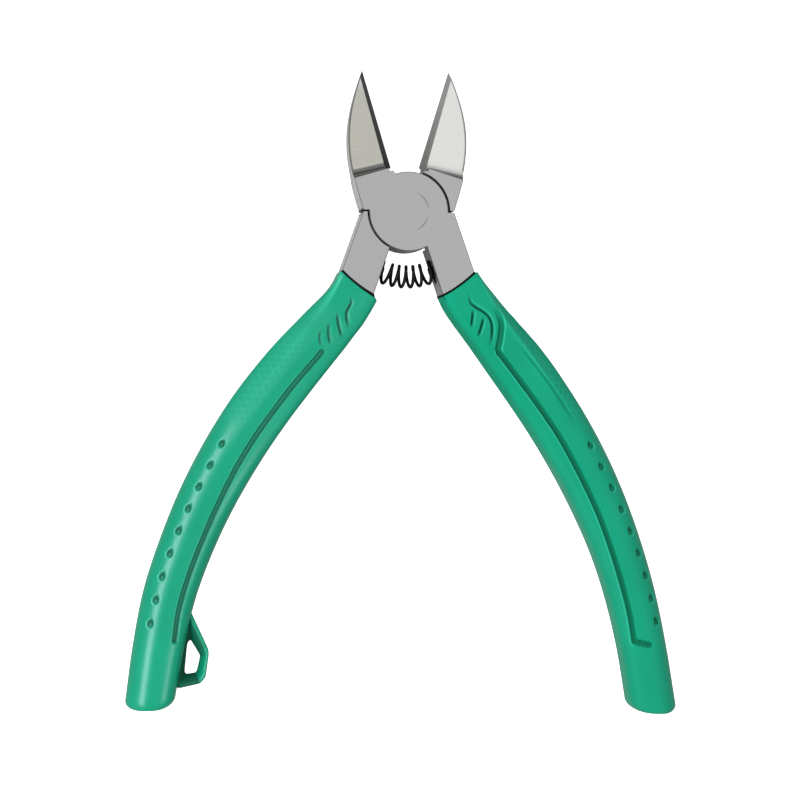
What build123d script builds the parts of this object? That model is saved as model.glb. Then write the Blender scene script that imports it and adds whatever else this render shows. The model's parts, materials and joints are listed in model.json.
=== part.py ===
from build123d import *
import math
import os

# Flush cut pliers: two forged halves lapped on a rivet, a coil spring and two moulded grips.
# They lie flat with the tips along +Y and the front face up, standing open against their stop.
# Outlines are drawn about the pivot for the right-hand side; the left is their mirror image.

# --- driving dimensions, in millimetres and degrees ---
HALF_OPEN = 16.85          # each half's turn from closed to the open stop
HEAD_THICK = 9.2           # jaws, lap discs together, and shanks
GRIP_THICK = 12.5
PIVOT_Y = 40.66            # puts the origin halfway between the tips and the grip ends
LAP_RADIUS = 9.0
LAP_SIDE_GAP = 0.45        # round each lap disc
LAP_FACE_GAP = 0.04        # between the two lap discs
SHOULDER_GAP = 0.45        # between a jaw's heel and the other half's shoulder, at the stop
SHOULDER_REACH = 10.4      # pivot to the outer end of that gap
BLADE_REACH = 34.45        # pivot to tip, along the cutting edge
BLADE_ROOT = 11.0          # pivot to the inner end of the cutting edge
EDGE_GAP = 0.02            # between the cutting edges when they are closed
EDGE_BREAK = 0.15          # chamfer along the long edges of the steel
BEVEL_WIDTH = 1.54         # at the root of the cutting edge
BEVEL_DROP = 1.8
GROUND_STEP = 10.45        # pivot to the shoulder that the ground blade face starts from
GROUND_SLOPE = 26.5        # the ground face falls towards the cutting edge
GROUND_TAPER = 0.86        # and towards the tip
GROUND_RADIUS = 2.6        # grinding wheel's radius in the corner of that shoulder
BACK_RELIEF = 1.0          # the flat back of the blade, below the back of the lap
RIVET_RADIUS = 3.0
RIVET_HEAD_RADIUS = 4.56
RIVET_SINK = 1.4
RIVET_CLEARANCE = 0.04
SPRING_ARC = 14.6          # pivot to the spring's centre line
SPRING_RADIUS = 2.35       # coil axis to wire centre
SPRING_WIRE = 0.5
SPRING_TURNS = 7.5
SOCKET_RADIUS = 2.95
SOCKET_DEPTH = 1.4
PIN_RADIUS = 1.25
PIN_SEAT = 2.0             # pressed into the shank below the socket
PIN_PROUD = 0.9            # stands beyond the shank's face
LOOP_THICK = 5.0
BIG = 60.0                 # larger than any cut needs

MID_Z = GRIP_THICK / 2
FRONT_Z = MID_Z + HEAD_THICK / 2
BACK_Z = MID_Z - HEAD_THICK / 2
EDGE_Z = BACK_Z + BACK_RELIEF


def polar(reach, angle):
    """The point at a reach from the pivot, turned clockwise from +Y by an angle."""
    return (reach * math.sin(math.radians(angle)), reach * math.cos(math.radians(angle)))


def slab(face, low, high):
    """The face, drawn on the XY plane, as a solid from one height to another."""
    return Pos(0, 0, low) * extrude(face, high - low)


def mirrored(shape):
    return mirror(shape, about=Plane.YZ)


def opened(shape):
    """Turns a right-hand jaw feature drawn for closed pliers to the open stop."""
    return Rot(0, 0, -HALF_OPEN) * shape


def broken(shape, shortest):
    """The steel blank with a small chamfer on those front and back edges that are long enough."""
    rims = shape.edges().filter_by(lambda e: e.length > shortest and abs(e.center().Z - MID_Z) > 1)
    return chamfer(rims, EDGE_BREAK)


# --- steel halves ---
def jaw_blank():
    """Right jaw: leaf-shaped outside, straight cutting edge, relief and lug beside the lap."""
    tip = polar(BLADE_REACH, HALF_OPEN)
    root = polar(BLADE_ROOT, HALF_OPEN)
    heel = (SHOULDER_REACH, SHOULDER_GAP / 2)
    outside = Spline(tip, (11.15, 29.6), (12.5, 24.9), (13.5, 18.5), (13.25, 12.1), (11.7, 4.5), heel)
    inside = Polyline(heel, (0, SHOULDER_GAP / 2), (3.0, 8.45), (3.6, 9.1), (3.65, 10.4), root, tip)
    return broken(slab(make_face([outside, inside]), BACK_Z, FRONT_Z), 30)


def jaw():
    """The jaw with its ground face, bevel and flat back cut."""
    boundary_z = EDGE_Z + BEVEL_DROP
    wheel = Box(BIG, BIG, BIG, align=(Align.CENTER, Align.MIN, Align.MIN))
    corner = wheel.edges().filter_by(Axis.X).sort_by(Axis.Z)[:2].sort_by(Axis.Y)[:1]
    tilt = Rot(-GROUND_TAPER, 0, 0) * Rot(0, -GROUND_SLOPE, 0)
    ground = Pos(BEVEL_WIDTH, GROUND_STEP, boundary_z) * tilt * fillet(corner, GROUND_RADIUS)
    slope = Polyline((-1, -1), (0, 0), (BEVEL_WIDTH, BEVEL_DROP), (BEVEL_WIDTH, BIG), (-1, BIG),
                     close=True)
    bevel_face = Plane.XZ * make_face(slope)
    bevel = Pos(0, GROUND_STEP - 0.6, EDGE_Z) * extrude(bevel_face, -BIG)
    back = Pos(0, GROUND_STEP, EDGE_Z) * Box(BIG, BIG, BIG, align=(Align.CENTER, Align.MIN, Align.MAX))
    kerf_side = Box(BIG, 2 * BIG, BIG, align=(Align.MAX, Align.CENTER, Align.CENTER))
    kerf = Pos(EDGE_GAP / 2, 0, 0) * kerf_side
    return jaw_blank() - opened(ground) - opened(bevel) - opened(back) - opened(kerf)


SHANK_OUTSIDE = (16.1, -16.4)
SHANK_INSIDE = (7.9, -19.0)
SHANK_ROOT = (4.3, -8.3)   # where the shank's inner side leaves the lap


def edge_bars(start, end):
    """Square bars on edge along a straight side's front and back rims, to cut their chamfers."""
    span = Vector(*end) - Vector(*start)
    middle = (Vector(*end) + Vector(*start)) * 0.5
    bar = Rot(45, 0, 0) * Box(span.length + 1, EDGE_BREAK * math.sqrt(2), EDGE_BREAK * math.sqrt(2))
    heights = (BACK_Z, FRONT_Z)
    return [Plane((middle.X, middle.Y, z), x_dir=span, z_dir=(0, 0, 1)) * bar for z in heights]


def shank():
    """Right shank, parallel-sided below the lap, running on as a tapered tang inside the grip."""
    shoulder = (SHOULDER_REACH, -SHOULDER_GAP / 2)
    outside = Line(shoulder, SHANK_OUTSIDE)
    tang_outside = Spline(SHANK_OUTSIDE, (22.3, -25.0), (29.3, -34.6), (39.0, -49.4), (48.2, -69.3),
                          (53.6, -90.0))
    tang_end = Polyline((53.6, -90.0), (53.0, -91.2), (50.8, -90.6), (50.5, -89.2))
    tang_inside = Spline((50.5, -89.2), (43.9, -70.3), (33.2, -51.9), (23.0, -37.5), (14.6, -27.5),
                         SHANK_INSIDE)
    inside = Polyline(SHANK_INSIDE, SHANK_ROOT, (0, -SHOULDER_GAP / 2), shoulder)
    blank = slab(make_face([outside, tang_outside, tang_end, tang_inside, inside]), BACK_Z, FRONT_Z)
    return blank - edge_bars(shoulder, SHANK_OUTSIDE) - edge_bars(SHANK_ROOT, SHANK_INSIDE)


def rivet(clearance=0.0):
    """Both heads are countersunk and ground flush with the lap."""
    neck = RIVET_RADIUS + clearance
    head = RIVET_HEAD_RADIUS + clearance
    half = HEAD_THICK / 2
    profile = Polyline((0, -half), (head, -half), (neck, RIVET_SINK - half), (neck, half - RIVET_SINK),
                       (head, half), (0, half), close=True)
    return Pos(0, 0, MID_Z) * revolve(Plane.XZ * make_face(profile), Axis.Z)


def half_blank(own_jaw, own_shank):
    disc = broken(slab(Face(Wire(Edge.make_circle(LAP_RADIUS))), BACK_Z, FRONT_Z), 30)
    return own_jaw + disc + own_shank


def lap_recess(low, high):
    return slab(Face(Wire(Edge.make_circle(LAP_RADIUS + LAP_SIDE_GAP))), low, high)


# --- spring, with its seats ---
FACE_ANGLE = 18.9          # the shank's inner face, from -Y
SEAT_ANGLE = 24.6          # where the spring's centre line meets that face


def spring_seat():
    """Plane on the right shank's inner face, centred on the spring and facing the left shank."""
    x, y = polar(-SPRING_ARC, SEAT_ANGLE)
    normal = Vector(-math.cos(math.radians(FACE_ANGLE)), -math.sin(math.radians(FACE_ANGLE)), 0)
    return Plane(origin=(-x, y, MID_Z), x_dir=(0, 0, 1), z_dir=normal)


def socket():
    return spring_seat() * Cylinder(SOCKET_RADIUS, 2 * SOCKET_DEPTH)


def spring_pin():
    length = PIN_SEAT + SOCKET_DEPTH + PIN_PROUD
    pin = Pos(0, 0, PIN_PROUD - length / 2) * Cylinder(PIN_RADIUS, length)
    pin = chamfer(pin.edges().sort_by(Axis.Z)[-1:], 0.3)
    return spring_seat() * pin


def return_spring():
    """A coil bent round the pivot, its end turns closed up in the sockets."""
    lead = math.degrees((SOCKET_DEPTH - SPRING_WIRE) / SPRING_ARC)
    reach = SEAT_ANGLE + lead
    steps = 14
    points = []
    for i in range(int(SPRING_TURNS * steps) + 1):
        turn = i / steps
        s = 2 * turn / SPRING_TURNS - 1
        along = reach * (s - 0.12 * math.sin(math.pi * s) / math.pi * 2 * abs(s))
        phase = 2 * math.pi * turn
        radial = SPRING_ARC + SPRING_RADIUS * math.sin(phase)
        x, y = polar(-radial, along)
        points.append((-x, y, MID_Z + SPRING_RADIUS * math.cos(phase)))
    path = Spline(points)
    section = Plane(origin=path @ 0, z_dir=path % 0) * Circle(SPRING_WIRE / 2)
    return sweep(section, path=path)


# --- grips ---
GRIP_OUTSIDE = [(16.4, -13.9), (18.9, -17.8), (23.4, -22.9), (31.6, -31.8), (38.9, -41.4), (45.2, -51.7),
                (50.6, -62.6), (55.0, -73.9), (58.7, -85.6), (61.3, -98.0), (63.3, -112.2)]
GRIP_INSIDE = [(7.3, -20.2), (10.9, -25.6), (15.0, -31.2), (21.6, -40.1), (28.2, -49.2), (34.0, -58.5),
               (39.3, -68.2), (43.8, -78.3), (47.3, -88.6), (49.8, -99.5), (51.7, -110.3)]


def grip_blank():
    """Right grip as moulded: flat front and back faces with fully rounded long edges."""
    top = ThreePointArc(GRIP_INSIDE[0], (12.0, -16.8), GRIP_OUTSIDE[0])
    outside = Spline(GRIP_OUTSIDE)
    end = Polyline(GRIP_OUTSIDE[-1], (61.6, -114.3), (56.0, -114.3), (52.8, -112.8), GRIP_INSIDE[-1])
    inside = Spline(GRIP_INSIDE[::-1])
    body = slab(make_face([top, outside, end, inside]), 0, GRIP_THICK)
    rims = body.edges().filter_by(lambda e: e.length > 60 and abs(e.center().Z - MID_Z) > 1)
    return fillet(rims, 3.6)


def lanyard_loop():
    """Fixed loop beside the left grip's end, moulded in one piece with it."""
    outer = Polyline((-48.5, -90.6), (-47.4, -91.8), (-43.7, -99.8), (-44.2, -105.9), (-45.4, -107.3),
                     (-51.5, -108.7), (-51.5, -93.0), close=True)
    hole = Polyline((-48.0, -95.6), (-45.7, -100.6), (-46.2, -104.8), (-49.4, -105.5), (-48.9, -100.5),
                    close=True)
    frame = make_face(outer) - make_face(hole)
    return slab(frame, MID_Z - LOOP_THICK / 2, MID_Z + LOOP_THICK / 2)


def place(shape):
    """Moves a piece from the pivot's frame to the object's."""
    return Pos(0, PIVOT_Y, 0) * shape


def build():
    right_jaw = jaw()
    right_shank = shank() - socket()
    pin_right = spring_pin()
    right_shank -= pin_right
    upper = lap_recess(MID_Z - LAP_FACE_GAP / 2, FRONT_Z + 1)
    lower = lap_recess(BACK_Z - 1, MID_Z + LAP_FACE_GAP / 2)
    front_half = half_blank(mirrored(right_jaw), right_shank) - lower - rivet()
    rear_half = half_blank(right_jaw, mirrored(right_shank)) - upper - rivet(RIVET_CLEARANCE)
    tang = shank()
    right_grip = grip_blank() - tang
    left_grip = (mirrored(grip_blank()) + lanyard_loop()) - mirrored(tang)
    return {
        "front_half": front_half,
        "rear_half": rear_half,
        "pivot_rivet": rivet(),
        "return_spring": return_spring(),
        "spring_pin_left": mirrored(pin_right),
        "spring_pin_right": pin_right,
        "left_grip": left_grip,
        "right_grip": right_grip,
    }


os.makedirs("parts", exist_ok=True)
for node, shape in build().items():
    export_step(place(shape), "parts/" + node + ".step")
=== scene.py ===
import json
import math
import bpy
import numpy as np
from mathutils import Matrix, Vector


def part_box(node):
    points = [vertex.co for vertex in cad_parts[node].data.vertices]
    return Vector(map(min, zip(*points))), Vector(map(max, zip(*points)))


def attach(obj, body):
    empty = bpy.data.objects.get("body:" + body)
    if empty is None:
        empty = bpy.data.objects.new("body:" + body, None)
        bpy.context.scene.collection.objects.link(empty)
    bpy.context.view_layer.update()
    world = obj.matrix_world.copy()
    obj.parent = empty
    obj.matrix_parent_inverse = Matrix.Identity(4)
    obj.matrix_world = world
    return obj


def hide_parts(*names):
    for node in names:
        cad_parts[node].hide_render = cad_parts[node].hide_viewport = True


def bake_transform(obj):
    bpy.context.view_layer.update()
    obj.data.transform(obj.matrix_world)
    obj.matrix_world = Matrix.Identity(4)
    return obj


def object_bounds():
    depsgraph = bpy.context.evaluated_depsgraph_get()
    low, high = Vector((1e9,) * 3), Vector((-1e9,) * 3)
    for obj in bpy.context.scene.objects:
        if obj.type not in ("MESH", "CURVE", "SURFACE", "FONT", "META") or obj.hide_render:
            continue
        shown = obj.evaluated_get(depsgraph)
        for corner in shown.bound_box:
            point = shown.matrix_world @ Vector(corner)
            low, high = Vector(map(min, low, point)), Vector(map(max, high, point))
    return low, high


# Flush cut pliers lying flat, tips along +Y, seen from above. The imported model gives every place.
# Outlines and markings are in millimetres from the pivot, drawn for the right-hand side; the left
# grip is the mirror image, with the two faces' markings exchanged.
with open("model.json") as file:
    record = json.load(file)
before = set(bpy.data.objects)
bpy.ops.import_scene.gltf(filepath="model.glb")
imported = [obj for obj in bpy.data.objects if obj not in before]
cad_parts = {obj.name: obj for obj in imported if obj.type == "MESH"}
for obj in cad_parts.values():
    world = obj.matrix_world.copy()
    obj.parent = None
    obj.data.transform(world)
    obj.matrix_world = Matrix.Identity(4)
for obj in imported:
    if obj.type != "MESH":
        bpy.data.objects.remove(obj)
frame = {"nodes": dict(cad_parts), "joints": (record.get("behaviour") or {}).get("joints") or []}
cad_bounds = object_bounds()
nodes = frame["nodes"]
pivot_joint = frame["joints"][0]
PIVOT = Vector(pivot_joint["pos_m"])
HALF_OPEN = math.radians(pivot_joint["range_deg"][1] / 2)
MM = 0.001


def half_height(node):
    low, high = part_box(node)
    return (high[2] - low[2]) / 2 / MM


GRIP_HALF = half_height("right_grip")
STEEL_HALF = half_height("front_half")


# ------------------------------------------------------------------ curves in the plane
CURVE_STEPS = 12            # places on a marking's curve for each of its points
TINY = 1e-9                 # keeps a length off zero


def ease(value, low, high):
    """0 below low, 1 above high, smooth between."""
    t = np.clip((value - low) / (high - low), 0, 1)
    return t * t * (3 - 2 * t)


def fall(value, low, high):
    """1 below low, 0 above high, smooth between."""
    return 1 - ease(value, low, high)


def band(value, centre, near, far):
    """1 within near of the centre, 0 further than far from it."""
    return fall(np.abs(value - centre), near, far)


def through(points, count):
    """A Catmull-Rom curve through the points: count places, evenly spaced in the spline's parameter."""
    p = np.array(points, float)
    p = np.vstack([2 * p[0] - p[1], p, 2 * p[-1] - p[-2]])
    u = np.linspace(0, len(points) - 1, count)
    k = np.minimum(u.astype(int), len(points) - 2)
    t = (u - k)[:, None]
    a, b, c, d = p[k], p[k + 1], p[k + 2], p[k + 3]
    cubic = (2 * a - 5 * b + 4 * c - d) * t ** 2 + (3 * b - a - 3 * c + d) * t ** 3
    return 0.5 * (2 * b + (c - a) * t + cubic)


def lengths(line):
    """Distance run at each point of a polyline."""
    return np.r_[0, np.cumsum(np.sqrt((np.diff(line, axis=0) ** 2).sum(1)))]


def at_shares(line, shares, run=None):
    """Places on a polyline at shares of its length, or of another running measure."""
    run = lengths(line) if run is None else run
    return np.column_stack([np.interp(shares * run[-1], run, line[:, k]) for k in range(line.shape[1])])


def distance_to(where, points):
    """Signed distance of each place from the curve through the points, and its nearest share.

    The distance is plus to the left of the curve's run.
    """
    line = through(points, CURVE_STEPS * len(points))
    run = lengths(line)
    best = np.full(len(where), 1e9)
    share = np.zeros(len(where))
    for k in range(len(line) - 1):
        step = line[k + 1] - line[k]
        size = run[k + 1] - run[k]
        t = np.clip(((where - line[k]) @ step) / (size * size), 0, 1)
        gap = np.hypot(*(where - line[k] - t[:, None] * step).T)
        gap = np.copysign(gap, (where - line[k]) @ np.array([-step[1], step[0]]))
        nearer = np.abs(gap) < np.abs(best)
        best[nearer] = gap[nearer]
        share[nearer] = (run[k] + t[nearer] * size) / run[-1]
    return best, share


# ------------------------------------------------------------------ grip outline
# Opposite points of a grip's two long sides, from the mouth down to the rounded end.
RIGHT_SIDES = (
    [(7.8, -19.5), (9.1, -22.1), (11.3, -25.3), (13.6, -28.3), (15.9, -31.4), (22.1, -40.1), (28.4, -49.2),
     (34.05, -58.5), (39.15, -68.2), (43.65, -78.3), (47.1, -88.6), (49.8, -99.5), (51.75, -110.6)],
    [(15.95, -13.55), (17.6, -15.9), (20.1, -18.9), (22.5, -21.7), (25.0, -24.3), (31.9, -31.8), (38.9, -41.4),
     (45.05, -51.7), (50.25, -62.6), (54.5, -73.9), (58.0, -85.6), (60.7, -98.0), (63.15, -112.3)])
LEFT_SIDES = (
    [(7.0, -20.4), (8.2, -22.6), (10.1, -25.7), (12.3, -28.6), (14.4, -31.4), (21.2, -40.1), (27.95, -49.2),
     (34.0, -58.5), (39.4, -68.2), (44.0, -78.3), (47.6, -88.6), (50.0, -99.5), (51.6, -108.9)],
    [(15.6, -13.9), (16.9, -16.4), (18.9, -18.9), (21.6, -21.6), (24.4, -24.5), (31.25, -31.8), (38.8, -41.4),
     (45.25, -51.7), (50.8, -62.6), (55.3, -73.9), (59.0, -85.6), (61.3, -98.0), (62.9, -110.5)])
INSIDE_CORNER = (4.4, -3.4)     # how far each corner of the end is rounded, across and along
OUTSIDE_CORNER = (-1.9, -1.8)
END_ROUND = 1.0
FACE_INSET = 0.08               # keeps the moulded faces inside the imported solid
MOUTH_THINNER = 0.7             # how much less the half thickness is at the mouth
MOUTH_THINNER_REACH = 18
MOUTH_SAG = 0.35                # how far the middle of the mouth lies below its corners
MOUTH_SAG_REACH = 3.5
MOUTH_STEEL = [(8.05, -19.35), (15.3, -14.1)]     # where the shank's two sides pass through the mouth
MOUTH_GAP = 0.03                # between the mouth's edge and the steel
MOUTH_DEPTH = 3                 # how far the hole's wall goes in
LIP_TURN = 0.42                 # share of the way to the steel that the rounded lip takes in
LIP_AHEAD = 0.2
LIP_RINGS = 5
MOUTH_SHADOW_WIDTH = 0.7                # how far the black collar of painted shadow stands ahead of the mouth on the steel
MOUTH_SHADOW_RINGS = 3
# distance down the grip against the width of the sloped facet along its outer edge
FACET_WIDTH = ([0, 4, 8, 12, 16, 26], [0.3, 0.9, 1.5, 2.0, 2.5, 3.4])
FACET_SLOPE = 1.25
FACET_LOWEST = 0.3              # the facet takes no more than this share of the height
FACET_FADE = (20, 42)           # distances down the grip over which it fades into the rounded section
# by side: distance down the grip against how strong the painted highlight along the facet's inner edge is
CREASE_PAINTED_HIGHLIGHT = {-1: ([0, 6, 12], [0.5, 0.4, 0.12]), 1: ([0, 6, 12], [0.1, 0.15, 0.12])}
CREASE_WIDENING = 0.25
# superellipse powers of the section's outer and inner halves: lowest, and what is added near the mouth
OUTER_POWER = (2.15, 5.8)
OUTER_POWER_FADE = (0, 36)
INNER_POWER = (3.2, 2.6)
INNER_POWER_FADE = (14, 70)


# ------------------------------------------------------------------ markings
# Every marking gives each place's depth and its shade, painted into the plastic's colour: above 0 darker
# (painted shade), below 0 lighter (painted highlight).
SLOT = [(19.7, -32.1), (27.2, -41.1), (35.1, -52.2), (41.1, -63.1), (47.4, -77.8), (50.9, -88.9), (52.0, -96.6)]
FEATHERS_A = [
    ([(13.5, -19.0), (13.1, -20.5), (13.5, -21.7), (14.2, -23.1), (14.1, -25.0), (13.6, -26.9)], 0.34),
    ([(16.3, -22.8), (16.2, -24.8), (15.8, -26.9), (15.1, -29.2)], 0.28),
    ([(18.1, -25.1), (18.3, -27.1), (18.2, -28.9), (17.8, -30.8)], 0.24),
    ([(19.9, -27.0), (20.3, -28.8), (20.0, -31.0)], 0.18)]
GROOVE_HOOK = [(18.6, -20.3), (20.2, -22.4), (21.1, -25.0), (21.1, -26.9), (20.8, -29.0), (20.4, -30.9),
               (20.6, -31.9)]
GROOVE = [(20.5, -31.7), (23.4, -35.4), (30.1, -44.2), (36.0, -53.0), (42.9, -66.3), (47.4, -78.1),
          (50.8, -89.7), (52.2, -97.4)]
GROOVE_FOOT = [(52.2, -97.4), (55.8, -98.2)]
FINE_LINE = [(23.4, -28.1), (29.0, -34.8), (33.5, -40.7), (39.0, -49.0)]
FEATHERS_B = [
    ([(13.7, -17.6), (13.9, -20.3), (15.2, -21.6), (17.0, -22.7), (18.3, -24.0), (18.9, -25.9), (18.8, -28.5),
      (18.1, -31.1)], 0.52),
    ([(14.6, -22.0), (14.4, -24.2), (14.1, -26.4)], 0.50),
    ([(17.1, -23.6), (16.4, -26.2), (15.6, -28.5)], 0.60)]
SLOT_HALF = 0.55
GROOVE_HALF = 0.62
CHANNEL_DEPTH = 0.75
CHANNEL_WALL = 0.13             # half the width of a channel's sloping wall
LIP_PAINTED_HIGHLIGHT = 0.5                # how light the painted highlight along a channel's lip is
LIP_PAINTED_HIGHLIGHT_OFFSET = 0.2
FEATHER_FULL_DEPTH = 0.28       # shallower feathers get less painted shade
FEATHER_WALL = (0.02, 0.26)
# where the painted highlight beside a feather's wall lies
FEATHER_PAINTED_HIGHLIGHT_OFFSET = 0.62
DIMPLE_LINE = [(42.0, -52.8), (47.0, -62.3), (51.4, -72.1), (55.0, -82.2), (57.6, -92.9)]
DIMPLE_COUNT = 9
DIMPLE_HALF_WIDTH = 0.76
DIMPLE_NARROWING = 0.25         # for each millimetre towards the tail
DIMPLE_ROUND_END = 0.88
DIMPLE_TAIL = 1.2
DIMPLE_DEPTH = 0.5
BOSS_OFFSET = 0.15
BOSS_HEIGHT = 0.3
KNURL_HEIGHT = 0.045
KNURL_PITCH = 1.35
KNURL_STRETCH = 0.75
KNURL_SLANT = 7
KNURL_START_A = 0.5             # share across the grip where the knurl starts on the plain face
KNURL_START_B = 0.66            # and on the other face
KNURL_PAINTED_HIGHLIGHT = 2.6                # painted highlight: how much lighter its ridges are painted, for each millimetre of height


def channel(where, points, half, depth, painted_shade_across, lip=0, fade=0.0, wall=CHANNEL_WALL):
    """A flat-bottomed groove along a curve, with painted shade of some darkness from one side to the other.

    A lip of 1 or -1 puts a painted highlight along that side. With a fade, it runs out over that share of its
    start.
    """
    gap, share = distance_to(where, points)
    run_out = ease(share, 0, fade) if fade else 1.0
    inside = run_out * band(gap, 0, half - wall, half + wall)
    shade = inside * np.interp(gap / half, np.linspace(-1, 1, len(painted_shade_across)), painted_shade_across)
    if lip:
        shade -= LIP_PAINTED_HIGHLIGHT * run_out * band(gap, lip * (half + LIP_PAINTED_HIGHLIGHT_OFFSET), 0.05, 0.3)
    return depth * inside, shade


def feather(where, points, depth, reach, lean, painted_highlight):
    """A cut with one steep wall, on the side that lean points to, and a long slope up from it, with painted
    shade along the wall and a painted highlight up the slope.
    """
    gap, share = distance_to(where, points)
    gap = gap * lean
    tapered = ease(share, 0, 0.3) * fall(share, 0.72, 1.0)
    slope = np.clip(1 + gap / (reach * (0.4 + 0.6 * tapered)), 0, 1) ** 1.5
    # painted shade along the steep wall, painted highlight a little way up the slope
    shade = band(gap, -0.03, 0.14, 0.42) - painted_highlight * band(gap, -FEATHER_PAINTED_HIGHLIGHT_OFFSET, 0.05, 0.3)
    shade *= tapered * min(1, depth / FEATHER_FULL_DEPTH)
    return depth * tapered * np.where(gap > 0, fall(gap, *FEATHER_WALL), slope), shade


def deepest(marks):
    """Several markings as one: the greatest depth, and the strongest painted shade, else the strongest painted
    highlight.
    """
    depths, shades = np.array([m[0] for m in marks]), np.array([m[1] for m in marks])
    darkest = shades.max(0)
    return depths.max(0), np.where(darkest > 0.02, darkest, shades.min(0))


def dimples(where):
    """A row of drop-shaped dimples, tails towards the head, each with a small boss inside, painted shade in its
    bowl and a painted highlight on one side of its rim.
    """
    centres = at_shares(through(DIMPLE_LINE, 200), np.linspace(0, 1, DIMPLE_COUNT))
    tangents = np.gradient(centres, axis=0)
    tangents /= np.hypot(*tangents.T)[:, None]
    depth, shade = np.zeros(len(where)), np.zeros(len(where))
    for centre, tangent in zip(centres, tangents):
        along = (where - centre) @ tangent
        across = (where - centre) @ np.array([-tangent[1], tangent[0]])
        width = DIMPLE_HALF_WIDTH * np.clip(1 + DIMPLE_NARROWING * np.minimum(along, 0), 0.05, 1)
        outline = np.hypot(across / width, along / np.where(along > 0, DIMPLE_ROUND_END, DIMPLE_TAIL))
        boss = np.hypot(across, along - BOSS_OFFSET)
        drop = DIMPLE_DEPTH * fall(outline, 0.5, 1.1) - BOSS_HEIGHT * fall(boss, 0.1, 0.5)
        depth = np.maximum(depth, drop)
        bowl_painted_shade = fall(outline, 0.7, 1.05) * (0.3 + 0.6 * ease(boss, 0.15, 0.45))
        rim_painted_highlight = band(outline, 1.2, 0.05, 0.25) * ease(along + across, 0.1, 1.0)
        shade += bowl_painted_shade - 0.45 * rim_painted_highlight
    return depth, shade


def knurl(down, across, start):
    """Shallow crossed ridges on the outer shoulder, from a start across the grip, fading out all round."""
    zone = ease(down, 12, 22) * fall(down, 38, 44) * ease(across, start, start + 0.16) * fall(across, 0.9, 0.99)
    ridge = 0
    for slant in (KNURL_SLANT, -KNURL_SLANT):
        wave = np.cos(2 * math.pi * (down * KNURL_STRETCH + slant * across) / KNURL_PITCH)
        ridge = np.maximum(ridge, ease(wave, 0.35, 1.0))
    return -KNURL_HEIGHT * zone * ridge


def markings_a(where):
    """The plain face: one long closed slot and four short feather cuts."""
    # each channel's numbers are its painted shade from one side to the other, a feather's last number its
    # painted highlight
    marks = [channel(where, SLOT, SLOT_HALF, CHANNEL_DEPTH, (1.0, 0.9, 0.85, 0.5, 0.4, 0.5, 0.9))]
    marks += [feather(where, points, deep, 1.15, 1, 0.15) for points, deep in FEATHERS_A]
    return deepest(marks)


def markings_b(where):
    """The other face: a long groove with a hooked top and a short foot, three joined feathers, a fine line."""
    # the channels' numbers are their painted shade across, the feathers' last numbers their painted highlight
    marks = [channel(where, GROOVE, GROOVE_HALF, CHANNEL_DEPTH, (0.75, 0.8, 0.7, 0.45), lip=-1),
             channel(where, GROOVE_HOOK, GROOVE_HALF, 0.72, (0.65, 0.6, 0.5, 0.45), lip=1, fade=0.5, wall=0.16),
             channel(where, GROOVE_FOOT, GROOVE_HALF, CHANNEL_DEPTH, (0.45, 0.7, 0.75)),
             feather(where, FINE_LINE, 0.12, 0.9, -1, 0.3)]
    marks += [feather(where, points, deep, 0.62, -1, 0.35) for points, deep in FEATHERS_B]
    return deepest(marks)


# ------------------------------------------------------------------ grip mesh
SIDE_POINTS = 3000
TOP_SHARE = 0.24            # the part of the length with the feather marks gets closer stations
TOP_STATIONS = 175
LOWER_STATIONS = 245
END_STATIONS = 16
SECTION_POINTS = 700
FACE_STEPS = 96             # steps over half a section, from one side's middle to the other's


def stations(sides):
    """For every section down the grip: its two side points, half thickness, and distance from the mouth."""
    inner, outer = (through(side, SIDE_POINTS) for side in sides)
    run = lengths((inner + outer) / 2)
    shares = np.r_[np.linspace(0, TOP_SHARE, TOP_STATIONS, endpoint=False),
                   np.linspace(TOP_SHARE, 1, LOWER_STATIONS)]
    inner, outer = at_shares(inner, shares, run), at_shares(outer, shares, run)
    turn = np.linspace(0, math.pi / 2, END_STATIONS + 1)[1:, None]
    sweep = np.hstack([1 - np.cos(turn), np.sin(turn)])
    inner = np.vstack([inner, inner[-1] + np.array(INSIDE_CORNER) * sweep])
    outer = np.vstack([outer, outer[-1] + np.array(OUTSIDE_CORNER) * sweep])
    down = lengths((inner + outer) / 2)
    thick = GRIP_HALF - FACE_INSET - MOUTH_THINNER * fall(down, 0, MOUTH_THINNER_REACH)
    thick[-END_STATIONS:] -= END_ROUND * sweep[:, 0]
    return inner, outer, thick, down


def section(half_width, thick, down):
    """One closed section: a superellipse with a facet cut off its outer edge, mirrored front to back."""
    angle = np.linspace(math.pi, 0, SECTION_POINTS)
    cos, sin = np.cos(angle), np.sin(angle)
    outer_power = OUTER_POWER[0] + OUTER_POWER[1] * fall(down, *OUTER_POWER_FADE)
    inner_power = INNER_POWER[0] + INNER_POWER[1] * fall(down, *INNER_POWER_FADE)
    power = np.where(cos > 0, outer_power, inner_power)
    across = half_width * np.sign(cos) * np.abs(cos) ** (2 / power)
    height = thick * sin ** (2 / power)
    crease = half_width - np.interp(down, *FACET_WIDTH)
    crease_height = np.interp(crease, across, height)
    facet = np.maximum(crease_height - (across - crease) * FACET_SLOPE, height * FACET_LOWEST)
    height += (np.minimum(height, facet) - height) * fall(down, *FACET_FADE)
    # steep stretches get fewer points than flat ones
    step = np.hypot(np.diff(across), np.diff(height))
    flatness = np.abs(np.diff(across)) / (step + TINY)
    run = np.r_[0, np.cumsum(step * (0.3 + 0.7 * ease(flatness, 0.1, 0.5)))]
    half = at_shares(np.column_stack([across, height]), np.linspace(0, 1, FACE_STEPS + 1), run)
    return np.vstack([half, (half * (1, -1))[-2:0:-1]])


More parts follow.
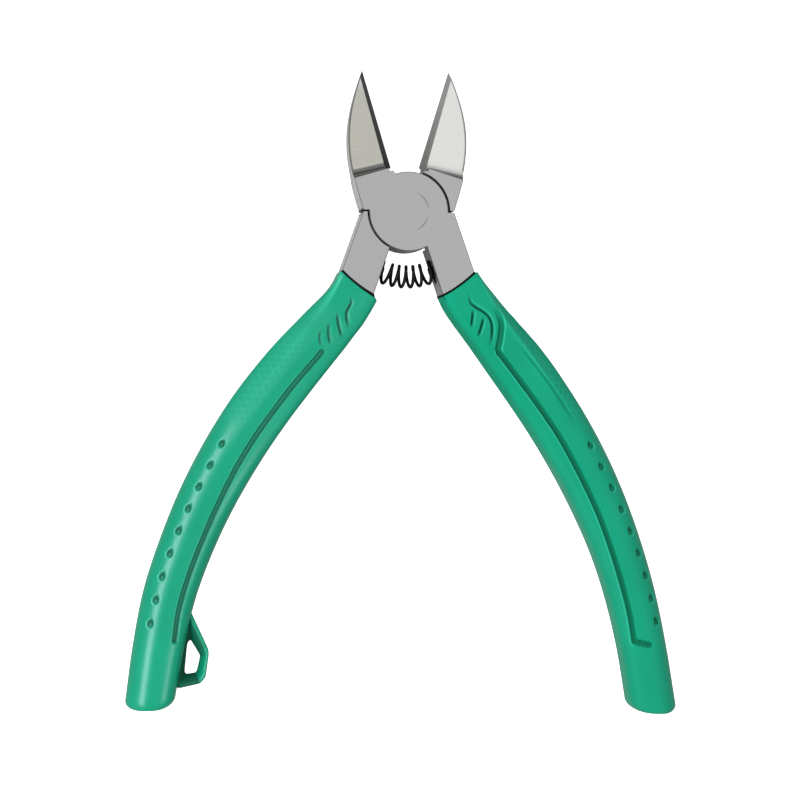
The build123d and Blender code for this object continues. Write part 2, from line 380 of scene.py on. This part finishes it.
def section_normals(across, height):
    run_across = np.roll(across, -1, 1) - np.roll(across, 1, 1)
    run_up = np.roll(height, -1, 1) - np.roll(height, 1, 1)
    size = np.hypot(run_across, run_up) + TINY
    return -run_up / size, run_across / size


def face_marks(where, down, share, upper, front, back):
    """Depth and painted light (painted shade and painted highlights) of the markings: the front's where upper
    is true, the back's elsewhere.
    """
    depth, shade = np.zeros(len(where)), np.zeros(len(where))
    for mask, marks in ((upper, front), (~upper, back)):
        cut_and_painted_light, marks_painted_light = deepest([marks(where[mask]), dimples(where[mask])])
        ridge = knurl(down[mask], share[mask], KNURL_START_B if marks is markings_b else KNURL_START_A)
        depth[mask] = np.where(cut_and_painted_light > 0, cut_and_painted_light, ridge)
        # the knurl's ridges get a painted highlight
        shade[mask] = marks_painted_light + KNURL_PAINTED_HIGHLIGHT * ridge
    return depth, shade


def build_grip(name, sides, front, back, side):
    """One grip as a closed mesh. side is 1 for the right and -1 for the left."""
    inner, outer, thick, down = stations(sides)
    middle = (inner + outer) / 2
    half_width = np.hypot(*(outer - inner).T) / 2
    out_dir = (outer - inner) / (2 * half_width)[:, None]
    shape = np.array([section(*values) for values in zip(half_width, thick, down)])
    across, height = shape[:, :, 0], shape[:, :, 1]
    plan = middle[:, None] + across[:, :, None] * out_dir[:, None]
    normal_across, normal_up = section_normals(across, height)
    outward = across / half_width[:, None]
    marks = face_marks(plan.reshape(-1, 2), np.repeat(down, shape.shape[1]), (outward.reshape(-1) + 1) / 2,
                       height.reshape(-1) > 0, front, back)
    on_face = ease(np.abs(normal_up), 0.15, 0.45)
    depth, shade = (values.reshape(height.shape) * on_face for values in marks)
    across = across - depth * normal_across
    height = height - depth * normal_up
    outward = across / half_width[:, None]
    plan = middle[:, None] + across[:, :, None] * out_dir[:, None]
    head = (middle[0] - middle[1]) / np.hypot(*(middle[0] - middle[1]))
    sag = MOUTH_SAG * fall(down, 0, MOUTH_SAG_REACH)[:, None] * (1 - outward ** 2)
    plan -= sag[:, :, None] * head
    body = np.dstack([plan, height])

    # painted highlight along the facet's crease, fading down the grip
    crease = np.abs(across - (half_width - np.interp(down, *FACET_WIDTH))[:, None])
    painted_highlight = fall(crease / (1 + CREASE_WIDENING * down[:, None]), 0.05, 0.4)
    shade -= np.interp(down, *CREASE_PAINTED_HIGHLIGHT[side])[:, None] * painted_highlight * fall(down, *FACET_FADE)[:, None]
    inner_matte = fall(down, 20, 55)[:, None] * ease(-outward, 0.2, 0.6)
    knurl_matte = 0.8 * (ease(down, 5, 14) * fall(down, 34, 48))[:, None] * ease(outward, 0.0, 0.3)
    matte = np.maximum(inner_matte, knurl_matte)

    mouth = mouth_rings(body[0], middle[0], out_dir[0], head)
    rings = np.concatenate([mouth, body])
    # the painted shade and painted highlights of the markings and the crease, passed to the material
    cut_and_painted_light = np.concatenate([np.zeros(mouth.shape[:2]), shade])
    matte = np.concatenate([np.ones(mouth.shape[:2]), matte])
    # the first rings, the collar on the steel, are painted black as shadow under the mouth's edge
    mouth_shadow = np.zeros(cut_and_painted_light.shape)
    mouth_shadow[:MOUTH_SHADOW_RINGS] = 1
    return closed_tube(name, rings * (side, 1, 1), {"cut_and_painted_light": cut_and_painted_light, "matte": matte, "mouth_shadow": mouth_shadow}, side < 0)


def mouth_rings(ring, centre, out_dir, head):
    """Rings that turn the mouth's edge in to the steel: from inside the hole out to the rounded lip."""
    hole_in, hole_out = np.array(MOUTH_STEEL)
    hole_half = np.hypot(*(hole_out - hole_in)) / 2 + MOUTH_GAP
    rel = (ring[:, :2] - centre) @ out_dir
    u, v = rel / np.abs(rel).max(), ring[:, 2] / np.abs(ring[:, 2]).max()
    square = 1 / np.maximum(np.abs(u), np.abs(v))
    sag = MOUTH_SAG * (1 - (u * square) ** 2)[:, None] * head
    hole = np.column_stack([(hole_in + hole_out) / 2 + (u * square * hole_half)[:, None] * out_dir - sag,
                            v * square * (STEEL_HALF + MOUTH_GAP)])
    ahead = np.r_[head, 0]
    # the second ring reaches ahead onto the steel: the collar of painted shadow
    rings = [hole - MOUTH_DEPTH * ahead, hole + MOUTH_SHADOW_WIDTH * ahead]
    for turn in np.linspace(math.pi / 2, 0, LIP_RINGS + 1)[:-1]:
        inward = (hole - ring) * LIP_TURN * (1 - math.cos(turn))
        rings.append(ring + inward + ahead * LIP_AHEAD * math.sin(turn))
    return np.array(rings)


def closed_tube(name, rings, marks, flip, endless=False):
    """Rings of equal count joined into a closed mesh in the row's frame, with point attributes."""
    rows, count = rings.shape[:2]
    k = np.arange(count)
    quads = []
    for r in range(rows if endless else rows - 1):
        this, after = r * count, (r + 1) % rows * count
        quads.append(np.column_stack([this + k, this + (k + 1) % count, after + (k + 1) % count, after + k]))
    faces = np.vstack(quads)[:, ::-1].tolist()
    if not endless:
        faces += [list(range(count)), list(range(rows * count - 1, (rows - 1) * count - 1, -1))]
    if flip:
        faces = [f[::-1] for f in faces]
    mesh = bpy.data.meshes.new(name)
    mesh.from_pydata((rings.reshape(-1, 3) * MM + np.array(PIVOT)).tolist(), [], faces)
    for key, values in marks.items():
        attribute_data = mesh.attributes.new(key, "FLOAT", "POINT").data
        attribute_data.foreach_set("value", values.reshape(-1).astype(np.float32))
    mesh.polygons.foreach_set("use_smooth", [True] * len(mesh.polygons))
    mesh.update()
    piece = bpy.data.objects.new(name, mesh)
    bpy.context.scene.collection.objects.link(piece)
    return piece


# ------------------------------------------------------------------ lanyard loop
# Matching points of the loop's outer outline and of its hole, round the loop, for the right-hand side.
LOOP_OUTER = [(53.0, -89.0), (50.3, -86.3), (48.1, -91.0), (44.45, -98.8), (44.3, -100.0), (44.95, -105.1),
              (46.2, -106.6), (51.3, -107.7), (54.0, -105.0), (54.0, -96.0)]
LOOP_HOLE = [(48.9, -97.6), (48.5, -97.2), (48.2, -97.2), (46.3, -100.3), (46.2, -100.9), (46.85, -103.9),
             (47.2, -104.4), (49.2, -104.7), (49.6, -104.2), (49.1, -98.5)]
# how dark the loop's painted shade is at the same places, and where on the way in to the hole that starts
LOOP_PAINTED_SHADE = [0.8, 0.8, 0.8, 0.6, 0.1, 0.2, 0.9, 0.9, 0.9, 0.9]
LOOP_PAINTED_SHADE_START = [0.2, 0.2, 0.2, 0.3, 0.4, 0.4, -0.2, -0.2, -0.2, 0.0]
LOOP_PAINTED_SHADE_WIDTH = 0.2
# share of the way from the outer outline to the hole, and height, round one section
LOOP_SECTION = [(0.0, -0.75), (0.0, 0.75), (0.05, 0.93), (0.16, 1.0), (0.30, 1.0), (0.40, 0.94), (0.70, 0.45),
                (0.98, -0.1), (1.0, -0.5), (0.9, -0.85), (0.7, -1.0), (0.22, -1.0), (0.06, -0.93)]
LOOP_HALF = 2.5
LOOP_STEPS = 6


def rounded_ring(points):
    """A closed outline with LOOP_STEPS places for each point and its corners eased."""
    ring = np.array(points)
    share = np.linspace(0, 1, LOOP_STEPS, endpoint=False)[:, None]
    fine = np.vstack([a + (b - a) * share for a, b in zip(ring, np.roll(ring, -1, 0))])
    return (np.roll(fine, 1, 0) + 2 * fine + np.roll(fine, -1, 0)) / 4


def build_loop():
    """A closed ring of rounded section: outer rim, front face, and inner walls that open towards the front."""
    outer, hole = rounded_ring(LOOP_OUTER), rounded_ring(LOOP_HOLE)
    rings = [np.column_stack([outer + (hole - outer) * share, np.full(len(outer), LOOP_HALF * height)])
             for share, height in LOOP_SECTION]
    rings = np.stack(rings, axis=1) * (-1, 1, 1)
    share = np.array(LOOP_SECTION)[:, 0]
    # painted shade on the diagonal and lower bars and their inner walls; the upright bar stays light
    painted_darkness = np.repeat(LOOP_PAINTED_SHADE, LOOP_STEPS)[:, None]
    start = np.repeat(LOOP_PAINTED_SHADE_START, LOOP_STEPS)[:, None]
    shade = painted_darkness * ease(share, start, start + LOOP_PAINTED_SHADE_WIDTH)
    marks = {"cut_and_painted_light": shade, "matte": 0 * shade, "mouth_shadow": 0 * shade}
    return closed_tube("lanyard_loop_moulding", rings, marks, True, endless=True)


# ------------------------------------------------------------------ spring
SPRING_ARC = 14.6           # pivot to the coil's axis, which is bent round the pivot
SPRING_RADIUS = 2.35
SPRING_WIRE = 0.38          # wire radius
SPRING_TURNS = 7.5
# angle of the coil's axis from the middle, against turns from the middle: open coils, closed ends
SPRING_PITCH = ([0, 2.5, 3.0, 3.75], [0, 18.1, 24.6, 26.6])
PITCH_BLEND = np.linspace(-0.12, 0.12, 9)     # turns over which a change of pitch is averaged
TURN_STEPS = 48
WIRE_SIDES = 12
WIRE_ENDS = (0.45, 0.85)    # the wire's last two sections, as shares of its radius


def spring_line():
    turns = np.linspace(-SPRING_TURNS / 2, SPRING_TURNS / 2, int(SPRING_TURNS * TURN_STEPS) + 1)
    angle = np.mean([np.sign(turns + f) * np.interp(np.abs(turns + f), *SPRING_PITCH) for f in PITCH_BLEND],
                    axis=0)
    angle = np.radians(angle)
    phase = 2 * math.pi * (turns + SPRING_TURNS / 2)
    radial = SPRING_ARC + SPRING_RADIUS * np.sin(phase)
    return np.column_stack([radial * np.sin(angle), -radial * np.cos(angle), -SPRING_RADIUS * np.cos(phase)])


def build_spring():
    line = spring_line()
    tangent = np.gradient(line, axis=0)
    tangent /= np.linalg.norm(tangent, axis=1)[:, None]
    angle = np.arctan2(line[:, 0], -line[:, 1])
    centre = np.column_stack([SPRING_ARC * np.sin(angle), -SPRING_ARC * np.cos(angle), 0 * angle])
    outward = line - centre
    outward -= (outward * tangent).sum(1)[:, None] * tangent
    outward /= np.linalg.norm(outward, axis=1)[:, None]
    aside = np.cross(tangent, outward)
    turn = np.linspace(0, 2 * math.pi, WIRE_SIDES, endpoint=False)
    thickness = np.r_[WIRE_ENDS, np.ones(len(line) - 2 * len(WIRE_ENDS)), WIRE_ENDS[::-1]][:, None, None]
    ring = np.cos(turn)[:, None] * outward[:, None] + np.sin(turn)[:, None] * aside[:, None]
    return closed_tube("coil_spring", line[:, None] + SPRING_WIRE * thickness * ring, {}, True)


# ------------------------------------------------------------------ shader nodes
def add(tree, kind, inputs=(), **settings):
    """A node with its settings and inputs, each a value or another node's output."""
    node = tree.nodes.new("ShaderNode" + kind)
    for key, value in settings.items():
        setattr(node, key, value)
    for key, value in dict(inputs).items():
        if isinstance(value, bpy.types.NodeSocket):
            tree.links.new(value, node.inputs[key])
        else:
            node.inputs[key].default_value = value
    return node


def math_of(tree, operation, *values, clamp=False):
    return add(tree, "Math", enumerate(values), operation=operation, use_clamp=clamp).outputs[0]


def product(tree, first, *others):
    for other in others:
        first = math_of(tree, "MULTIPLY", first, other)
    return first


def size_of(tree, value):
    return math_of(tree, "ABSOLUTE", value)


def ramp(tree, value, low, high, start=0.0, end=1.0):
    """Runs smoothly from start to end as the value goes from low to high."""
    inputs = {"Value": value, "From Min": low, "From Max": high, "To Min": start, "To Max": end}
    return add(tree, "MapRange", inputs, interpolation_type="SMOOTHSTEP").outputs[0]


def grey(level):
    return (level, level, level, 1)


def mixed(tree, share, a, b):
    """Colour a where the share is 0, b where it is 1."""
    return add(tree, "Mix", {0: share, 6: a, 7: b}, data_type="RGBA").outputs[2]


def noise(tree, place, scale, detail):
    return add(tree, "TexNoise", {"Vector": place, "Scale": scale, "Detail": detail}).outputs["Fac"]


def attribute(tree, name):
    return add(tree, "Attribute", attribute_name=name).outputs["Fac"]


def coordinates(tree, kind):
    return add(tree, "TexCoord").outputs[kind]


def split(tree, vector):
    return add(tree, "SeparateXYZ", {0: vector}).outputs


def material(name, **sockets):
    """A new material with its shader's sockets set; returns it with its tree and shader."""
    made = bpy.data.materials.new(name)
    made.use_nodes = True
    shader = made.node_tree.nodes["Principled BSDF"]
    for key, value in sockets.items():
        shader.inputs[key.replace("_", " ")].default_value = value
    return made, made.node_tree, shader


# ------------------------------------------------------------------ grip and spring materials
GREEN = ((0.003, 0.31, 0.174, 1), (0.003, 0.335, 0.188, 1))
PAINTED_SHADE_GREEN = (0.0, 0.085, 0.042, 1)       # painted shade: the colour where a marking is at its darkest
PAINTED_HIGHLIGHT_GREEN = (0.05, 0.62, 0.42, 1)       # painted highlight: the colour where a lip is at its lightest
# painted shadow where the grip's mouth meets the steel
MOUTH_SHADOW_BLACK = (0.002, 0.003, 0.003, 1)
MATTE_ROUGHER = 0.5                       # added roughness in the markings and on matte stretches
WIRE_BLACK = (grey(0.002), grey(0.006))


def plastic():
    made, tree, shader = material("grip_plastic_material", Specular_IOR_Level=0.18)
    place = coordinates(tree, "Object")
    cut_and_painted_light = attribute(tree, "cut_and_painted_light")
    base = mixed(tree, ramp(tree, noise(tree, place, 60.0, 2.0), 0.3, 0.7), *GREEN)
    # painted shade: the plastic is darkened where the attribute is above 0, in cuts, dimples and on the loop
    base = mixed(tree, math_of(tree, "MAXIMUM", cut_and_painted_light, 0.0, clamp=True), base, PAINTED_SHADE_GREEN)
    # painted highlight: the plastic is lightened where the attribute is below 0, on lips, knurl ridges and the
    # crease
    base = mixed(tree, math_of(tree, "MULTIPLY", cut_and_painted_light, -1.0, clamp=True), base, PAINTED_HIGHLIGHT_GREEN)
    # painted shadow: black where the mouth meets the steel
    base = mixed(tree, attribute(tree, "mouth_shadow"), base, MOUTH_SHADOW_BLACK)
    tree.links.new(base, shader.inputs["Base Color"])
    grain = noise(tree, place, 5200.0, 3.0)
    matte = product(tree, math_of(tree, "MAXIMUM", cut_and_painted_light, attribute(tree, "matte")), MATTE_ROUGHER)
    rough = math_of(tree, "ADD", ramp(tree, grain, 0.3, 0.7, 0.27, 0.35), matte)
    tree.links.new(rough, shader.inputs["Roughness"])
    bump = add(tree, "Bump", {"Height": grain, "Strength": 0.12, "Distance": 0.00006}).outputs[0]
    tree.links.new(bump, shader.inputs["Normal"])
    return made


def wire():
    made, tree, shader = material("spring_wire_material", Specular_IOR_Level=0.25)
    film = noise(tree, coordinates(tree, "Object"), 3000.0, 2.0)
    tree.links.new(mixed(tree, film, *WIRE_BLACK), shader.inputs["Base Color"])
    tree.links.new(ramp(tree, film, 0.3, 0.7, 0.35, 0.5), shader.inputs["Roughness"])
    return made


# ------------------------------------------------------------------ steel
# Where a pair is by side, -1 is the half with the left jaw, 1 the half with the right jaw, 0 the rivet.
SATIN_COLOURS = ((0.64, 0.651, 0.645, 1), (0.675, 0.686, 0.681, 1))
# a ground face's grinding-line tones, with their level set per side as painted light
GROUND_LINES_AND_PAINTED_LIGHT = {-1: ((0.75, 0.74, 0.66, 1), (0.82, 0.81, 0.73, 1)),
                  0: (grey(0.6), grey(0.7)),
                  1: ((0.72, 0.72, 0.70, 1), (0.77, 0.77, 0.75, 1))}
# Bevel, root, tip and outline colours, the left walls' colour and the dark-line colour are painted light and
# shade, some set by side.
BEVEL_PAINTED_LIGHT = {-1: grey(0.09), 0: grey(0.16), 1: (0.46, 0.46, 0.455, 1)}
ROOT_PAINTED_LIGHT = {-1: (0.22, 0.22, 0.21, 1), 0: grey(0.6), 1: (0.95, 0.95, 0.93, 1)}
TIP_PAINTED_HIGHLIGHT = {-1: (0.95, 0.95, 0.93, 1), 0: grey(0.7), 1: (0.77, 0.77, 0.75, 1)}
OUTLINE_PAINTED_SHADE = grey(0.08)
LEFT_WALL_PAINTED_HIGHLIGHT = grey(0.93)
ROOT_WALL_PAINTED_SHADE = grey(0.2)
EDGE_AND_GAP_PAINTED_SHADE = grey(0.02)
# a jaw's outer edge on its own axes: how far out it lies is a quadratic of the distance from the pivot
JAW_EDGE = (-16.9, 0.3559, 0.007723)
RIVET_RING = 0.00452
RIVET_RING_DARKNESS = 0.42
EDGE_PAINTED_SHADE = 0.75
OUTLINE_PAINTED_SHADE_STRENGTH = 0.8
GRINDING_SCALE = (16.0, 4400.0, 16.0)     # fine lines that run straight across the blade


def blade_masks(tree, jaw, facing, side):
    """Masks of the ground face, of its bevel, and of the thin line of painted shade along the face's outer
    edge.

    The ground face is told by its slope beyond the shoulder, its bevel by lying along the cutting edge.
    """
    across, along = jaw[0], jaw[1]
    blade = ramp(tree, along, 0.0100, 0.0104)
    ground = product(tree, blade, ramp(tree, facing[2], 0.95, 0.93))
    outward = product(tree, across, side)
    bevel = product(tree, blade, ramp(tree, facing[2], 0.80, 0.74), ramp(tree, facing[2], 0.40, 0.55),
                    ramp(tree, outward, 0.0018, 0.0016))
    edge = math_of(tree, "MULTIPLY_ADD", along, JAW_EDGE[0], JAW_EDGE[1])
    edge = math_of(tree, "MULTIPLY_ADD", along, edge, JAW_EDGE[2])
    from_edge = math_of(tree, "SUBTRACT", edge, outward)
    outline = product(tree, ground, ramp(tree, from_edge, 0.00052, 0.00020, 0.0, OUTLINE_PAINTED_SHADE_STRENGTH))
    return ground, bevel, outline


def root_masks(tree, along, facing):
    """Masks of the hollow where the blade meets the shoulder, and of the short wall above it."""
    hollow = product(tree, ramp(tree, facing[1], 0.2, 0.45), ramp(tree, along, 0.0085, 0.009),
                     ramp(tree, facing[2], 0.02, 0.12))
    return hollow, product(tree, hollow, ramp(tree, facing[1], 0.7, 0.8))


def rivet_arcs(tree, about):
    """Two faint arcs of the rivet head's outline, on its right, with a gap at the middle."""
    flat = add(tree, "CombineXYZ", {0: about[0], 1: about[1]}).outputs[0]
    reach = add(tree, "VectorMath", {0: flat}, operation="LENGTH").outputs["Value"]
    off_ring = size_of(tree, math_of(tree, "SUBTRACT", reach, RIVET_RING))
    off_middle = size_of(tree, math_of(tree, "ADD", about[1], 0.0002))
    return product(tree, ramp(tree, off_ring, 0.00022, 0.00006), ramp(tree, about[0], 0.001, 0.0035),
                   ramp(tree, off_middle, 0.0006, 0.0022, 0.0, RIVET_RING_DARKNESS))


def dark_lines(tree, about, facing, bevel):
    """Painted shade on the broken edges and in the gaps at the heels, with the rivet head's arcs, as one mask.
    """
    not_bevel = math_of(tree, "SUBTRACT", 1.0, bevel)
    edge = product(tree, ramp(tree, facing[2], 0.66, 0.69), ramp(tree, facing[2], 0.76, 0.73), not_bevel,
                   EDGE_PAINTED_SHADE)
    heel = product(tree, ramp(tree, size_of(tree, about[1]), 0.0007, 0.0005),
                   ramp(tree, size_of(tree, about[0]), 0.0084, 0.0088), ramp(tree, facing[2], 0.6, 0.4))
    return math_of(tree, "MAXIMUM", math_of(tree, "MAXIMUM", edge, rivet_arcs(tree, about)), heel)


def steel(name, side):
    """Ground and polished steel of the half with that side's jaw, or of the rivet for 0."""
    made, tree, shader = material(name + "_material", Metallic=1.0)
    place = coordinates(tree, "Object")
    from_pivot = add(tree, "Mapping", {"Vector": place, "Location": tuple(-PIVOT)}).outputs[0]
    on_jaw = add(tree, "Mapping", {"Vector": from_pivot, "Rotation": (0, 0, side * HALF_OPEN)}).outputs[0]
    about, jaw, facing = (split(tree, v) for v in (from_pivot, on_jaw, coordinates(tree, "Normal")))
    ground, bevel, outline = blade_masks(tree, jaw, facing, side)
    hollow, root_wall = root_masks(tree, jaw[1], facing)
    stretched = add(tree, "Mapping", {"Vector": on_jaw, "Scale": GRINDING_SCALE}).outputs[0]
    lines = noise(tree, stretched, 1.0, 4.0)
    satin = noise(tree, place, 9000.0, 2.0)

    colour = mixed(tree, ramp(tree, satin, 0.3, 0.7), *SATIN_COLOURS)
    # grinding-line tones of the ground face, at a painted light level per side
    ground_colour = mixed(tree, ramp(tree, lines, 0.25, 0.75), *GROUND_LINES_AND_PAINTED_LIGHT[side])
    # painted highlight towards the blade's tip, strongest on the left jaw
    ground_colour = mixed(tree, ramp(tree, jaw[1], 0.0295, 0.0325), ground_colour, TIP_PAINTED_HIGHLIGHT[side])
    colour = mixed(tree, ground, colour, ground_colour)
    # painted shade: a thin dark line along the ground face's outer edge
    colour = mixed(tree, outline, colour, OUTLINE_PAINTED_SHADE)
    # the bevel's colour by side: painted shade on the left jaw's, painted light on the right jaw's
    colour = mixed(tree, bevel, colour, BEVEL_PAINTED_LIGHT[side])
    # painted highlight: the left outer walls are lighter, as the light falls from the left
    wall = product(tree, ramp(tree, facing[0], -0.5, -0.7), ramp(tree, about[0], -0.004, -0.005))
    colour = mixed(tree, wall, colour, LEFT_WALL_PAINTED_HIGHLIGHT)
    # painted shade in the left blade's root hollow and a painted highlight in the right's, then painted shade
    # on the short wall above
    colour = mixed(tree, hollow, colour, ROOT_PAINTED_LIGHT[side])
    colour = mixed(tree, root_wall, colour, ROOT_WALL_PAINTED_SHADE)
    # painted shade on the broken edges and in the heel gaps, and the rivet head's dark arcs
    colour = mixed(tree, dark_lines(tree, about, facing, bevel), colour, EDGE_AND_GAP_PAINTED_SHADE)
    tree.links.new(colour, shader.inputs["Base Color"])

    smoother = product(tree, ground, ramp(tree, lines, 0.2, 0.8, -0.10, -0.04))
    rough = math_of(tree, "ADD", ramp(tree, satin, 0.3, 0.7, 0.34, 0.40), smoother)
    tree.links.new(rough, shader.inputs["Roughness"])
    scratches = product(tree, ground, lines)
    bump = add(tree, "Bump", {"Height": scratches, "Strength": 0.03, "Distance": 0.00002}).outputs[0]
    tree.links.new(bump, shader.inputs["Normal"])
    return made


# ------------------------------------------------------------------ camera and light
VIEW_DISTANCE = 0.5293              # from the pivot's level up to the camera
VIEW_YAW = math.radians(7.27)       # a little towards the pliers' left side
VIEW_PITCH = math.radians(0.59)
VIEW_ROLL = math.radians(0.35)
VIEW_CENTRE = (-0.00145, -0.04265)  # the picture's centre from the pivot, across and up the picture
VIEW_WIDTH = 0.1824                 # what the picture spans at that distance
SENSOR_WIDTH = 36.0
NEAR_CLIP = 0.01
LAMP_REACH = 0.9                    # from the pivot to each lamp
GLINT_COLOUR = (0.85, 0.8, 1.1)
FLOOR_HALF = 1.5
FLOOR_GREY = 0.42
FLOOR_GLOW = 1.2                    # what the camera sees of the floor, so that no shadow shows
SKY_LEVEL = 0.59
# axis of the direction, the two values that the change runs between, and the change of level
SKY_CHANGES = [(0, -0.3, -0.6, 0.5), (0, -0.7, -0.95, -0.4), (0, 0.2, 0.5, 0.3), (0, 0.6, 0.9, -0.4),
               (1, 0.4, 0.9, -0.15)]


def add_camera():
    yaw = Matrix.Rotation(VIEW_YAW, 3, "Y")
    pitch = Matrix.Rotation(-VIEW_PITCH, 3, "X")
    roll = Matrix.Rotation(-VIEW_ROLL, 3, "Z")
    turn = (roll @ pitch @ yaw).transposed()
    data = bpy.data.cameras.new("camera")
    data.sensor_width = SENSOR_WIDTH
    data.lens = SENSOR_WIDTH * VIEW_DISTANCE / VIEW_WIDTH
    data.clip_start = NEAR_CLIP
    camera = bpy.data.objects.new("camera", data)
    place = PIVOT + turn @ Vector((*VIEW_CENTRE, VIEW_DISTANCE))
    camera.matrix_world = Matrix.Translation(place) @ turn.to_4x4()
    bpy.context.scene.collection.objects.link(camera)
    bpy.context.scene.camera = camera


def add_box_light(name, tilt, width, length, radiance, along=-0.03, glints_on=None):
    """A long soft box parallel to the pliers, tilted from overhead towards +X.

    It gives soft light to everything, or only glints on the pieces of a collection.
    """
    tilt = math.radians(tilt)
    data = bpy.data.lights.new(name, "AREA")
    data.shape = "RECTANGLE"
    data.size, data.size_y = width, length
    data.energy = radiance * math.pi * width * length
    lamp = bpy.data.objects.new(name, data)
    lamp.location = PIVOT + Vector((LAMP_REACH * math.sin(tilt), along, LAMP_REACH * math.cos(tilt)))
    lamp.rotation_euler = (0, tilt, 0)
    lamp.visible_camera = False
    if glints_on:
        data.color = GLINT_COLOUR
    lamp.visible_diffuse = glints_on is None
    lamp.visible_glossy = glints_on is not None
    lamp.light_linking.receiver_collection = glints_on
    bpy.context.scene.collection.objects.link(lamp)


def add_floor():
    """A plain pale floor under the backs of the grips, which the camera sees as white."""
    corners = [(x * FLOOR_HALF, y * FLOOR_HALF, 0) for x, y in ((-1, -1), (1, -1), (1, 1), (-1, 1))]
    mesh = bpy.data.meshes.new("floor")
    mesh.from_pydata(corners, [], [(0, 1, 2, 3)])
    floor = bpy.data.objects.new("floor", mesh)
    floor.location.z = cad_bounds[0][2]
    made, tree, shader = material("floor_paper", Base_Color=grey(FLOOR_GREY), Roughness=0.9,
                                  Specular_IOR_Level=0.0, Emission_Color=grey(1))
    seen = add(tree, "LightPath").outputs["Is Camera Ray"]
    tree.links.new(product(tree, seen, FLOOR_GLOW), shader.inputs["Emission Strength"])
    floor.data.materials.append(made)
    bpy.context.scene.collection.objects.link(floor)


def add_sky():
    """A studio with a brighter band to the left and to the right, dimmer beyond the tips.

    The camera sees it as plain white.
    """
    world = bpy.data.worlds.new("studio")
    world.use_nodes = True
    tree = world.node_tree
    out = tree.nodes["Background"]
    direction = split(tree, coordinates(tree, "Generated"))
    level = SKY_LEVEL
    for axis, low, high, change in SKY_CHANGES:
        level = math_of(tree, "ADD", level, ramp(tree, direction[axis], low, high, 0.0, change))
    seen = add(tree, "LightPath").outputs["Is Camera Ray"]
    unseen = math_of(tree, "SUBTRACT", 1.0, seen)
    out.inputs["Color"].default_value = grey(1)
    tree.links.new(math_of(tree, "ADD", product(tree, level, unseen), seen), out.inputs["Strength"])
    bpy.context.scene.world = world


# ------------------------------------------------------------------ assembly
GRIP_FINISH = plastic()
WIRE_FINISH = wire()
FINISHES = {
    "front_half": steel("front_half", -1),
    "rear_half": steel("rear_half", 1),
    "pivot_rivet": steel("pivot_rivet", 0),
    "spring_pin_left": WIRE_FINISH,
    "spring_pin_right": WIRE_FINISH,
    "return_spring": WIRE_FINISH,
    "left_grip": GRIP_FINISH,
    "right_grip": GRIP_FINISH}
for node, finish in FINISHES.items():
    nodes[node].data.materials.clear()
    nodes[node].data.materials.append(finish)

right_grip = build_grip("right_grip_moulding", RIGHT_SIDES, markings_b, markings_a, 1)
left_grip = build_grip("left_grip_moulding", LEFT_SIDES, markings_a, markings_b, -1)
loop = build_loop()
for piece, node, body in ((right_grip, "right_grip", "front_body"), (left_grip, "left_grip", "rear_body"),
                          (loop, "left_grip", "rear_body")):
    piece.data.materials.append(GRIP_FINISH)
    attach(piece, body)
    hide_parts(node)

spring = build_spring()
spring.data.materials.append(WIRE_FINISH)
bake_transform(spring)
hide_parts("return_spring")

add_camera()
add_floor()
add_sky()
glossy = bpy.data.collections.new("glossy")
for piece in (left_grip, loop):
    glossy.objects.link(piece)
add_box_light("left_box", tilt=-30, width=0.13, length=0.9, radiance=13.5)
add_box_light("left_strip", tilt=-43, width=0.34, length=0.9, radiance=20.0, glints_on=glossy)
add_box_light("right_strip", tilt=31, width=0.36, length=0.45, radiance=11.0, along=-0.3, glints_on=glossy)
bpy.context.scene.view_settings.view_transform = "Standard"
